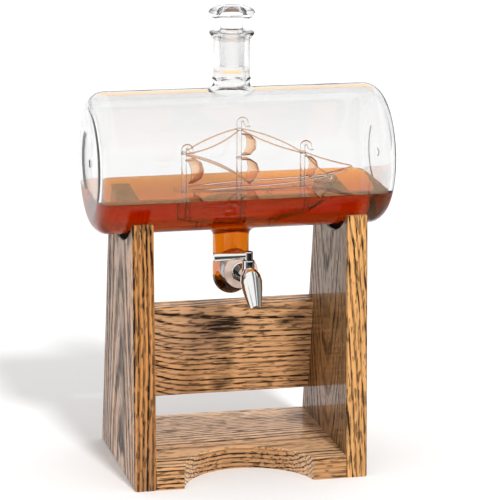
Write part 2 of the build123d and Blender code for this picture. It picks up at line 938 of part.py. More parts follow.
def gunwale_rails():
    """Rod along each edge of the hull, run on to the bowsprit's tip."""
    _, tip = sprit_ends()
    least = sprit_diameter / 2 + gunwale_diameter / 2 + fused_gap
    rails = []
    for hand in (-1, 1):
        points = [sheer_point(frame[0], hand) for frame in hull_frames_share]
        points.append((tip[0] - sprit_heel, hand * least, tip[2] - sprit_heel * sprit_rise / sprit_reach))
        rails.append(rod(eased_path(points), gunwale_diameter))
    return rails


def bowsprit():
    return rod(Line(*sprit_ends()), sprit_diameter)


def bowed_rod(start, end, rise):
    """Thin rod between two points, bowed up or down at its middle."""
    middle = ((start[0] + end[0]) / 2, (start[1] + end[1]) / 2, (start[2] + end[2]) / 2 + rise)
    return rod(ThreePointArc(start, middle, end), stay_diameter)


def stay_side():
    """Distance of a stay's centre line from the masts' centre plane, clear of the collars."""
    return mast_radius + collar_rise + stay_diameter / 2 + fused_gap


def stay_end(index, height, hand, toward):
    """End of a stay beside a mast's collar, short of the mast on the side that it comes from."""
    x = frame_place(index)[0] + toward * stay_setback
    return (x, hand * stay_side(), sheer_z + height)


def stays_mizzen_main():
    top, collar = main_collars[0], mizzen_collars[0]
    near = bowed_rod(
        stay_end(mizzen_frame, collar, -1, 1), stay_end(main_frame, top, -1, -1), -mizzen_stay_sag
    )
    far = bowed_rod(
        stay_end(mizzen_frame, collar, 1, 1), stay_end(main_frame, top, 1, -1), mizzen_stay_crown
    )
    return [near, far]


def stays_main_fore():
    top, collar = main_collars[0], fore_collars[0]
    near = bowed_rod(
        stay_end(main_frame, top, -1, 1), stay_end(fore_frame, collar, -1, -1), -fore_stay_sag
    )
    far = bowed_rod(stay_end(main_frame, top, 1, 1), stay_end(fore_frame, collar, 1, -1), fore_stay_crown)
    return [near, far]


def stays_fore_bow():
    _, tip = sprit_ends()
    over_rail = gunwale_diameter / 2 + stay_diameter / 2
    x, y, z = sheer_point(bow_stay_place_share, -1, over_rail)
    near = bowed_rod(stay_end(fore_frame, fore_collars[0], -1, 1), (x, y, z), -bow_stay_dip)
    end_z = tip[2] - stay_setback * sprit_rise / sprit_reach + sprit_diameter / 2
    end = (tip[0] - stay_setback, 0, end_z + stay_diameter / 2)
    far = bowed_rod(stay_end(fore_frame, fore_collars[0], 1, 1), end, -bow_stay_sag)
    return [near, far]


def stays_mizzen_hull():
    over_rail = gunwale_diameter / 2 + stay_diameter / 2
    rods = []
    for hand in (-1, 1):
        start = stay_end(mizzen_frame, mizzen_collars[0] - stay_spacing, hand, 1)
        rods.append(bowed_rod(start, sheer_point(hull_stay_place_share, hand, over_rail), hull_stay_crown))
    return rods


def stays():
    return stays_mizzen_main() + stays_main_fore() + stays_fore_bow() + stays_mizzen_hull()


def build():
    """Every node of the part, by name."""
    return {
        "left_side": stand_side(-1),
        "right_side": stand_side(1),
        "back_rail": back_rail(),
        "base_shelf": base_shelf(),
        "saddle_pad_left": saddle_pad(-1),
        "saddle_pad_right": saddle_pad(1),
        "glass_vessel": glass_vessel(),
        "stopper": stopper(),
        "tap_bung": tap_bung(),
        "shank_washer": shank_washer(),
        "shank_nut": shank_nut(),
        "tap_flange": tap_flange(),
        "tap_body": tap_body(),
        "tap_bonnet": tap_bonnet(),
        "valve_plug": valve_plug(),
        "valve_seal": valve_seal(),
        "lever_bar": lever_bar(),
        "ship_hull": ship_hull(),
        "gunwale_rails": gunwale_rails(),
        "bowsprit": bowsprit(),
        "masts": masts(),
        "sails": sails(),
        "stays": stays(),
    }


os.makedirs("parts", exist_ok=True)
for name, shape in build().items():
    pieces = shape if isinstance(shape, list) else [shape]
    solids = [solid for piece in pieces for solid in piece.solids()]
    export_step(solids[0] if len(solids) == 1 else Compound(children=solids), f"parts/{name}.step")
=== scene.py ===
import json
import math

import bmesh
import bpy
from mathutils import Matrix, Vector


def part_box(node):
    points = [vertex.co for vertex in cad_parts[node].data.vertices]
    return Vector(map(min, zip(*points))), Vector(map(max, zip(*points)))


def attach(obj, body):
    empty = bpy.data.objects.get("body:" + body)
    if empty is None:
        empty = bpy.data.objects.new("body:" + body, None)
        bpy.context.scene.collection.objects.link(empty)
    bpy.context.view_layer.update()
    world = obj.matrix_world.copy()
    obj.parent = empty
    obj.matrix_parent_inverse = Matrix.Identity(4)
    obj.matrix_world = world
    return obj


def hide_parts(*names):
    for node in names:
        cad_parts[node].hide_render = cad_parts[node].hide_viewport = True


# Metres, in the frame of the solids: X along the barrel, +Y to the back, +Z up.
MM = 0.001

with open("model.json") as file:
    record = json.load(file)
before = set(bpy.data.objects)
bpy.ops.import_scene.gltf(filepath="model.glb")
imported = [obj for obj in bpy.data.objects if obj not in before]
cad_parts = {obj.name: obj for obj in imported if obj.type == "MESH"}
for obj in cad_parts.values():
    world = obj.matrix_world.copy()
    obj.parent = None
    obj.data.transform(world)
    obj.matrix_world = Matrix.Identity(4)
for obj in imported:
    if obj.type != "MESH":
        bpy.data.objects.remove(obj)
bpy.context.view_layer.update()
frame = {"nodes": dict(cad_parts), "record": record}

# Camera, fitted to the photograph
CAMERA_PLACE = Vector((-0.42857, -1.82612, 0.60539))
CAMERA_YAW = math.radians(13.516)
CAMERA_PITCH = math.radians(13.443)
CAMERA_ROLL = math.radians(0.371)
CAMERA_LENS = 195.31
CAMERA_SENSOR = 36.0
CAMERA_CLIP = (0.01, 100.0)

# Light
WORLD_COLOUR = (1.0, 0.995, 0.99, 1.0)
WORLD_STRENGTH = 0.82
KEY_WAY = (-0.16, 1.10, -1.0)
KEY_SPREAD = 7.0
KEY_POWER = 1.9

# The drink: its level, how far it reaches into the glass, and the painted shade that darkens its foot
# in the drop tube
LIQUID_LEVEL = 203.5 * MM
GLASS_OVERLAP = 0.25 * MM
LEVEL_SNAP = GLASS_OVERLAP * 1.5
FOOT_SHADE_TOP = 138.5 * MM
FOOT_SHADE_BLUR = 1.0 * MM

# Walls and rounds of the glass and the way it rests, as in the solids
BARREL_WALL = 3.0 * MM
SHOULDER = 12.7 * MM
DISH_DEPTH = 1.3 * MM
TUBE_RADIUS = 12.8 * MM
TUBE_WALL = 2.4 * MM
PAD_THICKNESS = 3.1 * MM
REST_CLEARANCE = 0.3 * MM

# Ground zones of socket and plug (radius, lowest and highest place), and where the barrel's tint ends
SOCKET_ZONE = (9.8 * MM, 285 * MM, 315 * MM)
PLUG_ZONE = (9.8 * MM, 289.9 * MM, 314.2 * MM)
TINT_TOP = 276 * MM
TINT_BLUR = 4 * MM

# Distances within which points are welded, within which they count as lying on a round skin, and
# by which the chords of such a skin may fall short of it; then the cuts that split a chord
WELD = 0.001 * MM
SNAP = 0.03 * MM
CHORD_DEPTH = 0.4 * MM
CHORD_CUTS = 2

# Least cosine between the normal of a round skin and that of a face that lies on it
AIM_LIMIT = 0.9

# Sharpest edges that are shaded smooth, in degrees
GLASS_ANGLE = 35.0
ROD_ANGLE = 60.0
SAIL_ANGLE = 40.0
STEEL_ANGLE = 30.0

# What the boxes of the solids give
vessel_low, vessel_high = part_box("glass_vessel")
stopper_low, stopper_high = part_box("stopper")
bung_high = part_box("tap_bung")[1]
pad_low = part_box("saddle_pad_left")[0]
BARREL_RADIUS = (vessel_high[1] - vessel_low[1]) / 2
BARREL_HALF = (vessel_high[0] - vessel_low[0]) / 2
BARREL_Z = pad_low[2] + PAD_THICKNESS + REST_CLEARANCE + BARREL_RADIUS
NECK_X = (stopper_low[0] + stopper_high[0]) / 2
BUNG_BACK = bung_high[1]
TUBE_BOTTOM = vessel_low[2]
TUBE_FOOT = Vector((NECK_X, 0, TUBE_BOTTOM + TUBE_RADIUS))


def new_object(name, data):
    obj = bpy.data.objects.new(name, data)
    bpy.context.scene.collection.objects.link(obj)
    return obj


def make_camera():
    data = bpy.data.cameras.new("camera")
    data.lens = CAMERA_LENS
    data.sensor_width = CAMERA_SENSOR
    data.clip_start, data.clip_end = CAMERA_CLIP
    camera = new_object("camera", data)
    ahead = Vector((
        math.sin(CAMERA_YAW) * math.cos(CAMERA_PITCH),
        math.cos(CAMERA_YAW) * math.cos(CAMERA_PITCH),
        -math.sin(CAMERA_PITCH),
    ))
    level_right = Vector((math.cos(CAMERA_YAW), -math.sin(CAMERA_YAW), 0))
    level_up = level_right.cross(ahead)
    right = level_right * math.cos(CAMERA_ROLL) + level_up * math.sin(CAMERA_ROLL)
    up = level_up * math.cos(CAMERA_ROLL) - level_right * math.sin(CAMERA_ROLL)
    turn = Matrix((right, up, -ahead)).transposed().to_4x4()
    camera.matrix_world = Matrix.Translation(CAMERA_PLACE) @ turn
    bpy.context.scene.camera = camera


# Node trees

WHITE = (1.0, 1.0, 1.0)

# The part of a noise's range that most of it fills
MOST = (0.3, 0.7)


class Tree:
    """The node tree of a material or a world, with short calls for the nodes used here."""

    def __init__(self, owner):
        self.owner = owner
        owner.use_nodes = True
        self.nodes = owner.node_tree.nodes
        self.links = owner.node_tree.links
        self.nodes.clear()

    def node(self, kind, inputs=None, **settings):
        node = self.nodes.new(kind)
        for key, value in settings.items():
            setattr(node, key, value)
        for key, value in (inputs or {}).items():
            self.put(value, node.inputs[key])
        return node

    def put(self, value, socket):
        if isinstance(value, bpy.types.NodeSocket):
            self.links.new(value, socket)
        else:
            socket.default_value = value

    def math(self, operation, first, second=0.0, clamp=False):
        inputs = {0: first, 1: second}
        return self.node("ShaderNodeMath", inputs, operation=operation, use_clamp=clamp).outputs[0]

    def plus(self, first, second, clamp=False):
        return self.math("ADD", first, second, clamp)

    def minus(self, first, second, clamp=False):
        return self.math("SUBTRACT", first, second, clamp)

    def over(self, first, second):
        return self.math("DIVIDE", first, second)

    def larger(self, first, second):
        return self.math("MAXIMUM", first, second)

    def times(self, first, *others):
        for other in others:
            first = self.math("MULTIPLY", first, other)
        return first

    def square(self, value):
        return self.math("POWER", value, 2.0)

    def squares(self, first, second):
        """Sum of the squares of two values."""
        return self.plus(self.square(first), self.square(second))

    def place(self):
        """The object's own coordinates, which stay with the piece as it moves."""
        return self.node("ShaderNodeTexCoord").outputs["Object"]

    def parts(self, vector):
        return self.node("ShaderNodeSeparateXYZ", {0: vector}).outputs

    def stretch(self, vector, scale):
        return self.node("ShaderNodeMapping", {"Vector": vector, "Scale": scale}).outputs[0]

    def noise(self, vector, scale, detail=2.0, roughness=0.5):
        inputs = {"Vector": vector, "Scale": scale, "Detail": detail, "Roughness": roughness}
        return self.node("ShaderNodeTexNoise", inputs).outputs[0]

    def remap(self, value, low, high, out_low=0.0, out_high=1.0):
        inputs = {0: value, 1: low, 2: high, 3: out_low, 4: out_high}
        return self.node("ShaderNodeMapRange", inputs).outputs[0]

    def ramp(self, value, stops):
        """Grey that runs through (place, level) stops as the value goes from 0 to 1."""
        node = self.node("ShaderNodeValToRGB", {0: value})
        elements = node.color_ramp.elements
        while len(elements) < len(stops):
            elements.new(0.5)
        for element, (place, level) in zip(elements, stops):
            element.position = place
            element.color = (level, level, level, 1.0)
        return node.outputs[0]

    def blend(self, share, first, second, kind="MIX"):
        node = self.node("ShaderNodeMix", data_type="RGBA", blend_type=kind)
        for index, value in ((0, share), (6, first), (7, second)):
            if index and not isinstance(value, bpy.types.NodeSocket):
                value = (*value, 1.0)
            self.put(value, node.inputs[index])
        return node.outputs[2]

    def bump(self, height, strength, distance):
        inputs = {"Height": height, "Strength": strength, "Distance": distance}
        return self.node("ShaderNodeBump", inputs).outputs[0]

    def principled(self, inputs):
        return self.node("ShaderNodeBsdfPrincipled", inputs)

    def mix_shaders(self, share, first, second):
        inputs = {0: share, 1: first.outputs[0], 2: second.outputs[0]}
        return self.node("ShaderNodeMixShader", inputs)

    def finish(self, surface, volume=None, kind="ShaderNodeOutputMaterial"):
        output = self.node(kind, {"Surface": surface.outputs[0]})
        if volume:
            self.put(volume.outputs[0], output.inputs["Volume"])
        return self.owner


def material_tree(name):
    return Tree(bpy.data.materials.new(name))


# Oak

# Scales of its marks, and how far they are drawn out along the grain
SWAY_SCALE = 22.0
WAVE_SCALE = 160.0
PATCH_SCALE = 34.0
PORE_SCALE = 720.0
STREAK_SCALE = 1000.0
RING_SCALE = 0.7
RING_SCALE_ALONG = 9.0
DRAWN_OUT = 0.16
STREAKS_DRAWN_OUT = 0.05

# How far sway and wave push the rings aside
SWAY_REACH = 10.0 * MM
WAVE_REACH = 2.0 * MM

# Places in depth between which an upright board's pith takes on its lean, and the shares there
LEAN_FADE = (-50 * MM, -30 * MM, 0.1, 1.0)

# Dark of a ring: its full part as a share of the dark part, its level behind that part, and the
# place where it rises again
RING_CORE = 0.6
RING_REST = 0.12
RING_RISE = 0.88

# Ranges of a noise or of another value, with the levels that they are spread over where these
# aren't 0 and 1 or given by the board
RING_CHANGE = (0.3, 0.6, 0.45, 1.0)
RING_PORES = (0.42, 0.54)
RING_PORE_DARK = (0.0, 1.0, 0.6, 1.1)
LONE_PORES = (0.57, 0.63)
PATCHES = (0.36, 0.64)
MARK_EDGE = (0.2, 1.5)
MARK_FRAY = (0.36, 0.56, 0.3, 1.2)
MARK_GAPS = (-0.16, 0.06, 0.25, 1.0)
FACING = (0.4, 0.8)
FILM_FADE = (0.1, 0.8)

# Levels of the streaks and of the pores outside the rings, and the share of the oil's film that is
# left in the pores
STREAK_DARK = (0.2, -0.12)
LONE_PORE_DARK = 0.65
FILM_LEFT = 0.15


def oak_rings(tree, grain, parts, noises, pith, tilt, ring, bend):
    """Number of the growth ring at each place, counted from the pith."""
    along, first, second = parts
    sway, wave = noises
    warp = tree.plus(tree.times(sway, SWAY_REACH), tree.times(wave, WAVE_REACH))
    lean = tree.times(along, tilt)
    if grain == "Z":
        lean = tree.times(lean, tree.remap(second, *LEAN_FADE))
    across = tree.plus(tree.minus(tree.minus(first, pith[0]), lean), warp)
    beside = tree.plus(tree.minus(second, pith[1]), warp)
    if bend:
        bend_end, bend_rate = bend
        past = tree.larger(tree.minus(bend_end, along), 0.0)
        beside = tree.minus(beside, tree.times(tree.square(past), bend_rate))
    return tree.over(tree.math("SQRT", tree.squares(across, beside)), ring)


def oak_pores(tree, count, along, drawn, late):
    """Dark of the pores, which are dense in one part of each ring and scattered in the rest."""
    stops = ((0.0, 1.0), (RING_CORE * late, 1.0), (late, RING_REST), (RING_RISE, 0.0), (1.0, 1.0))
    porous = tree.ramp(tree.math("FRACT", count), stops)
    which = {0: count, 1: tree.times(along, RING_SCALE_ALONG)}
    change = tree.noise(tree.node("ShaderNodeCombineXYZ", which).outputs[0], RING_SCALE, detail=1.0)
    porous = tree.times(porous, tree.remap(change, *RING_CHANGE))
    pores = tree.noise(drawn, PORE_SCALE, detail=1.0)
    in_ring = tree.times(porous, tree.remap(tree.remap(pores, *RING_PORES), *RING_PORE_DARK))
    return tree.larger(in_ring, tree.times(tree.remap(pores, *LONE_PORES), LONE_PORE_DARK))


def oak_dark_mark(tree, dark_mark, along, second, streaks, wave):
    """Dark of a patch that frays out along the grain."""
    centre_along, centre_across, half_long, half_wide, strength = dark_mark
    reach = tree.over(tree.minus(along, centre_along), half_long)
    rise = tree.over(tree.minus(second, centre_across), half_wide)
    inside = tree.remap(tree.squares(reach, rise), *MARK_EDGE, strength, 0.0)
    return tree.times(
        inside, tree.remap(streaks, *MARK_FRAY), tree.remap(wave, *MARK_GAPS)
    )


def oak(
    name, grain, pith, tilt, ring, colours,
    dark_marks=(), bend=None, blotches=0.35, film=0.9, late=0.36, faces=None,
):
    """Oiled open-pored oak with its growth rings about a pith that leans through the board.

    Lengths are in metres.
    grain: axis along the board.
    pith: place of the pith across the board.
    tilt: how far the pith leans over per length of the board.
    ring: width of a growth ring.
    colours: colour between the pores and colour in them.
    dark_marks: dark patches (place along, place across, half length, half width, strength).
    bend: place along the board below which its grain curves away, and how fast.
    blotches: how much darker the board's broad patches are.
    film: weight of the oil's gloss.
    late: share of each ring that is dark.
    faces: axis that the faces with painted light and shade look along, and the tint painted on them.
    """
    light, dark = colours
    tree = material_tree(name)
    place = tree.place()
    x, y, z = tree.parts(place)
    if grain == "X":
        along, first, second = x, y, z
        drawn = tree.stretch(place, (DRAWN_OUT, 1, 1))
        fine = tree.stretch(place, (STREAKS_DRAWN_OUT, 1, 1))
    else:
        along, first, second = z, x, y
        drawn = tree.stretch(place, (1, 1, DRAWN_OUT))
        fine = tree.stretch(place, (1, 1, STREAKS_DRAWN_OUT))
    sway = tree.minus(tree.noise(drawn, SWAY_SCALE), 0.5)
    wave = tree.minus(tree.noise(drawn, WAVE_SCALE), 0.5)
    streaks = tree.noise(fine, STREAK_SCALE, roughness=0.6)
    count = oak_rings(tree, grain, (along, first, second), (sway, wave), pith, tilt, ring, bend)

    shade = oak_pores(tree, count, along, drawn, late)
    shade = tree.plus(shade, tree.remap(streaks, *MOST, *STREAK_DARK))
    for dark_mark in dark_marks:
        shade = tree.larger(shade, oak_dark_mark(tree, dark_mark, along, second, streaks, wave))
    shade = tree.plus(shade, 0.0, clamp=True)

    patches = tree.remap(tree.noise(drawn, PATCH_SCALE), *PATCHES)
    tone = tree.blend(patches, light, tuple((1.0 - blotches) * level for level in light))
    # Painted light and shade: faces that look along the given axis take a tint that makes them
    # lighter or darker, as light falls on that side
    if faces:
        axis, tint = faces
        normal = tree.node("ShaderNodeNewGeometry").outputs["Normal"]
        painted_side_share = tree.remap(tree.math("ABSOLUTE", tree.parts(normal)[axis]), *FACING)
        tone = tree.blend(painted_side_share, tone, tree.blend(1.0, tone, tint, "MULTIPLY"))

    height = tree.minus(1.0, shade)
    return tree.finish(tree.principled({
        "Base Color": tree.blend(shade, tone, dark),
        "Roughness": 0.6,
        "Specular IOR Level": 0.2,
        "Normal": tree.bump(height, strength=0.3, distance=0.5 * MM),
        "Coat Weight": tree.remap(shade, *FILM_FADE, film, FILM_LEFT * film),
        "Coat Roughness": 0.1,
        "Coat IOR": 1.46,
        "Coat Normal": tree.bump(height, strength=0.05, distance=0.3 * MM),
    }))


# Glass, drink, steel and rubber

GLASS_IOR = 1.47
DRINK_IOR = 1.34


def clear_glass(name, ground, tint=None):
    """Clear glass with a faint ripple, frosted in a ground zone about the neck's axis.

    ground gives the zone's radius and heights, and tint a colour that shows below TINT_TOP.
    """
    tree = material_tree(name)
    place = tree.place()
    x, y, z = tree.parts(place)
    radius, low, high = ground
    out = tree.math("SQRT", tree.squares(tree.minus(x, NECK_X), y))
    frosted = tree.times(
        tree.math("LESS_THAN", out, radius),
        tree.math("GREATER_THAN", z, low),
        tree.math("LESS_THAN", z, high),
    )
    grains = tree.remap(tree.noise(place, scale=2600.0), *MOST, 0.16, 0.28)
    ripple = tree.noise(place, scale=38.0, detail=1.0)
    colour = (*WHITE, 1.0)
    if tint:
        colour = tree.blend(tree.remap(z, TINT_TOP, TINT_TOP + TINT_BLUR), tint, WHITE)
    return tree.finish(tree.principled({
        "Base Color": colour,
        "Transmission Weight": 1.0,
        "IOR": GLASS_IOR,
        "Roughness": tree.times(frosted, grains),
        "Normal": tree.bump(ripple, strength=0.06, distance=2.0 * MM),
    }))


def drink(name):
    """Whisky-coloured drink, deeper in colour the thicker it lies, with painted shade that makes it
    near black at the tube's foot.
    """
    tree = material_tree(name)
    place = tree.place()
    ripple = tree.noise(place, scale=30.0, detail=1.0)
    # Painted shade: the drink is near black at the round foot of the drop tube
    painted_foot_shade = tree.remap(tree.parts(place)[2], FOOT_SHADE_TOP, FOOT_SHADE_TOP - FOOT_SHADE_BLUR)
    surface = tree.principled({
        "Base Color": tree.blend(painted_foot_shade, (1.0, 0.42, 0.12), (0.02, 0.006, 0.004)),
        "Transmission Weight": 1.0,
        "IOR": DRINK_IOR,
        "Roughness": 0.0,
        "Specular Tint": (1.0, 0.76, 0.42, 1.0),
        "Normal": tree.bump(ripple, strength=0.05, distance=2.0 * MM),
    })
    depth = {"Color": (0.922, 0.778, 0.111, 1.0), "Density": 180.0}
    return tree.finish(surface, tree.node("ShaderNodeVolumeAbsorption", depth))


def drawn_glass(name, core, outline_shade, roughness=0.0):
    """Lampworked glass in its own tint in the middle, with painted shade that darkens and deepens it
    towards its outline.
    """
    tree = material_tree(name)
    clouds = tree.remap(tree.noise(tree.place(), scale=90.0), *MOST, -0.08, 0.08)
    # Painted shade: as the faces turn from the view towards the outline, the colour goes over to the
    # darker outline colour
    edge = tree.node("ShaderNodeLayerWeight", {"Blend": 0.5}).outputs["Facing"]
    edge = tree.remap(tree.plus(edge, clouds, clamp=True), 0.25, 0.8)
    return tree.finish(tree.principled({
        "Base Color": tree.blend(edge, core, outline_shade),
        "Transmission Weight": 1.0,
        "IOR": GLASS_IOR,
        "Roughness": roughness,
    }))


def steel(name, dullness=0.03):
    """Polished stainless steel with faint wiping marks."""
    tree = material_tree(name)
    marks = tree.noise(tree.stretch(tree.place(), (1.0, 1.0, 0.15)), scale=900.0)
    return tree.finish(tree.principled({
        "Base Color": (0.90, 0.90, 0.88, 1.0),
        "Metallic": 1.0,
        "Roughness": tree.remap(marks, *MOST, dullness, 2 * dullness),
        "Normal": tree.bump(marks, strength=0.03, distance=0.2 * MM),
    }))


def rubber(name, colour, transmission=0.0, roughness=0.6, gloss=0.15):
    """Moulded rubber or silicone with a fine grain and faint patches."""
    tree = material_tree(name)
    place = tree.place()
    grain = tree.noise(place, scale=1800.0, detail=3.0)
    patches = tree.remap(tree.noise(place, scale=60.0), *MOST)
    return tree.finish(tree.principled({
        "Base Color": tree.blend(patches, colour, tuple(level * 0.8 for level in colour)),
        "Transmission Weight": transmission,
        "Specular IOR Level": gloss,
        "Roughness": tree.remap(grain, *MOST, roughness - 0.06, roughness + 0.08),
        "Normal": tree.bump(grain, strength=0.12, distance=0.2 * MM),
    }))


# Round skins of the vessel


def barrel_normal(point):
    """Direction away from the barrel's axis, its shoulders' circles or its ends, or None.

    The shallow dish in each end counts as flat.
    """
    along = point.x
    out = Vector((0, point.y, point.z - BARREL_Z))
    past = abs(along) - (BARREL_HALF - SHOULDER)
    for shell in (0.0, BARREL_WALL):
        radius = BARREL_RADIUS - shell
        bend = SHOULDER - shell
        if past <= SNAP and abs(out.length - radius) < SNAP:
            return out
        if past > 0:
            from_circle = Vector((math.copysign(past, along), 0, 0))
            from_circle += out.normalized() * (out.length - radius + bend)
            if out.length > radius - bend - SNAP and abs(from_circle.length - bend) < SNAP:
                return from_circle
            if -DISH_DEPTH - SNAP < past - bend < SNAP and out.length < radius - bend + SNAP:
                return Vector((math.copysign(1, along), 0, 0))
    return None


def vessel_normal(point):
    """Outward direction of the barrel or of the drop tube's foot at a point on either, or None."""
    reach = point - TUBE_FOOT
    for bend in (TUBE_RADIUS, TUBE_RADIUS - TUBE_WALL):
        if reach.z < SNAP and abs(reach.length - bend) < SNAP:
            return reach
    return barrel_normal(point)


def vessel_point(point):
    """Nearest point of a shoulder or of the tube's foot within a chord's depth, or None."""
    centres = []
    out = Vector((0, point.y, point.z - BARREL_Z))
    past = abs(point.x) - (BARREL_HALF - SHOULDER)
    if past > SNAP and out.length > BARREL_RADIUS - SHOULDER + SNAP:
        circle = Vector((math.copysign(BARREL_HALF - SHOULDER, point.x), 0, BARREL_Z))
        circle += out.normalized() * (BARREL_RADIUS - SHOULDER)
        centres.append((circle, SHOULDER, BARREL_WALL))
    if (point - TUBE_FOOT).z < SNAP:
        centres.append((TUBE_FOOT, TUBE_RADIUS, TUBE_WALL))
    for centre, radius, wall in centres:
        reach = point - centre
        for bend in (radius, radius - wall):
            if -SNAP < bend - reach.length < CHORD_DEPTH:
                return centre + reach.normalized() * bend
    return None


def round_off(form, matrix):
    """Push a mesh that spans the vessel's rounds with chords out onto them, the chords split."""
    turn = matrix.inverted()
    round_verts = set()
    for vert in form.verts:
        nearest = vessel_point(matrix @ vert.co)
        if nearest:
            vert.co = turn @ nearest
            round_verts.add(vert)
    chords = []
    for edge in form.edges:
        middle = matrix @ ((edge.verts[0].co + edge.verts[1].co) / 2)
        if round_verts.issuperset(edge.verts) and vessel_point(middle):
            chords.append(edge)
    made = bmesh.ops.subdivide_edges(form, edges=chords, cuts=CHORD_CUTS)
    for vert in {item for item in made["geom_inner"] if isinstance(item, bmesh.types.BMVert)}:
        vert.co = turn @ vessel_point(matrix @ vert.co)


def aim_normals(mesh, matrix):
    """Give the corners of the vessel's mesh the exact normals of the round skins they lie on."""
    mesh.update()
    normals = [corner.vector.copy() for corner in mesh.corner_normals]
    turn = matrix.to_3x3().inverted()
    known = {}
    for face in mesh.polygons:
        for corner in face.loop_indices:
            index = mesh.loops[corner].vertex_index
            if index not in known:
                known[index] = vessel_normal(matrix @ mesh.vertices[index].co)
            if known[index] is None:
                continue
            aim = (turn @ known[index]).normalized()
            if aim.dot(face.normal) < 0:
                aim = -aim
            if aim.dot(face.normal) > AIM_LIMIT:
                normals[corner] = aim
    mesh.normals_split_custom_set(normals)


# Pieces


def body_of(node):
    """The body that a node belongs to."""
    for body, nodes in frame["record"]["behaviour"]["bodies"].items():
        if node in nodes:
            return body
    raise ValueError(node)


def paint(obj, material):
    obj.data.materials.clear()
    obj.data.materials.append(material)


def welded(mesh):
    """A form to work on, with a mesh's faces joined where they meet."""
    form = bmesh.new()
    form.from_mesh(mesh)
    bmesh.ops.remove_doubles(form, verts=form.verts, dist=WELD)
    return form


def smooth(mesh, angle):
    """Shade a mesh smooth, but for edges sharper than an angle in degrees."""
    mesh.shade_smooth()
    form = bmesh.new()
    form.from_mesh(mesh)
    for edge in form.edges:
        edge.smooth = len(edge.link_faces) == 2 and edge.calc_face_angle(0.0) < math.radians(angle)
    form.to_mesh(mesh)
    form.free()


def skin(node, material, angle, is_vessel=False):
    """A copy of a node's mesh, welded and shaded as one smooth skin, that stands for the node."""
    source = frame["nodes"][node]
    form = welded(source.data)
    if is_vessel:
        round_off(form, source.matrix_world)
    mesh = source.data.copy()
    form.to_mesh(mesh)
    form.free()
    if "custom_normal" in mesh.attributes:
        mesh.attributes.remove(mesh.attributes["custom_normal"])
    piece = new_object(f"{node}_skin", mesh)
    smooth(mesh, angle)
    if is_vessel:
        aim_normals(mesh, source.matrix_world)
    paint(piece, material)
    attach(piece, body_of(node))
    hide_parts(node)


def cut_away(form, geometry, place, way):
    """Cut off what lies beyond a plane through a place, on the side that a direction points to."""
    bmesh.ops.bisect_plane(form, geom=geometry, plane_co=place, plane_no=way, clear_outer=True)


def connected(start):
    """All vertices of a form that its edges join to a first one."""
    found = {start}
    grown = [start]
    while grown:
        for edge in grown.pop().link_edges:
            for vert in edge.verts:
                if vert not in found:
                    found.add(vert)
                    grown.append(vert)
    return found


def drink_mesh():
    """The drink: all that the glass holds below its level and behind the bung, as one closed skin."""
    vessel = frame["nodes"]["glass_vessel"]
    form = welded(vessel.data)
    round_off(form, vessel.matrix_world)
    cut_away(form, form.verts[:] + form.edges[:] + form.faces[:], (0, 0, LIQUID_LEVEL), (0, 0, 1))
    barrel_bottom = BARREL_Z - BARREL_RADIUS
    below = [face for face in form.faces if all(vert.co.z < barrel_bottom for vert in face.verts)]
    edges = {edge for face in below for edge in face.edges}
    verts = {vert for face in below for vert in face.verts}
    cut_away(form, [*verts, *edges, *below], (0, BUNG_BACK, 0), (0, -1, 0))

    # The inner skin is the one that holds the lowest point of the tube's inside. The point's height
    # counts for more than its place along the barrel, since the tube stands a little off the middle.
    inner_bottom = TUBE_BOTTOM + TUBE_WALL
    height_weight = 9
    lowest = min(
        form.verts,
        key=lambda vert: abs(vert.co.x) + abs(vert.co.z - inner_bottom) * height_weight,
    )
    inside = connected(lowest)
    outside = [vert for vert in form.verts if vert not in inside]
    bmesh.ops.delete(form, geom=outside, context="VERTS")

    form.normal_update()
    for vert in form.verts:
        vert.co -= vert.normal * GLASS_OVERLAP
    for vert in form.verts:
        if abs(vert.co.z - LIQUID_LEVEL) < LEVEL_SNAP:
            vert.co.z = LIQUID_LEVEL
    bmesh.ops.holes_fill(form, edges=[edge for edge in form.edges if edge.is_boundary])
    bmesh.ops.recalc_face_normals(form, faces=form.faces)
    mesh = bpy.data.meshes.new("drink")
    form.to_mesh(mesh)
    form.free()
    smooth(mesh, GLASS_ANGLE)
    return mesh


def make_drink():
    piece = new_object("drink", drink_mesh())
    paint(piece, drink("drink"))
    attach(piece, "decanter")


# Floor, with zones that only mirroring surfaces show. A zone is a range of places and the
# brightness at its two ends, or a range alone where the brightness goes from 0 to 1. Where the
# name says so, the places are squares of the distance from a spot or from the origin.

FLOOR_HALF = 9.0
FLOOR_BEFORE = (-0.45, -0.25, 0.10, 1.0)
FLOOR_BESIDE = (0.20, 0.35, 1.0, 0.30)
FLOOR_SPOT = (0.20, 0.62)
FLOOR_SPOT_SQUARES = (0.020, 0.065, 0.03, 1.0)
FLOOR_WEDGE_SHIFT = 0.1
FLOOR_WEDGE_SLOPE = 0.6
FLOOR_WEDGE = (0.035, 0.085, 1.0, 0.22)
FLOOR_WEDGE_BACK = (-0.10, -0.05)
FLOOR_NEAR_SQUARES = (0.04, 0.12)


def mirrored_floor(tree, near):
    """Brightness of the floor as polished surfaces mirror it: dark before, beside and behind."""
    x, y, _ = tree.parts(tree.place())
    spot_x, spot_y = FLOOR_SPOT
    from_spot = tree.squares(tree.minus(x, spot_x), tree.minus(y, spot_y))
    aslant = tree.minus(x, tree.times(tree.plus(y, FLOOR_WEDGE_SHIFT), FLOOR_WEDGE_SLOPE))
    return tree.times(
        tree.remap(y, *FLOOR_BEFORE),
        tree.remap(x, *FLOOR_BESIDE),
        tree.remap(from_spot, *FLOOR_SPOT_SQUARES),
        tree.larger(tree.remap(aslant, *FLOOR_WEDGE), tree.remap(y, *FLOOR_WEDGE_BACK)),
        tree.remap(tree.squares(x, y), *FLOOR_NEAR_SQUARES, near, 1.0),
    )


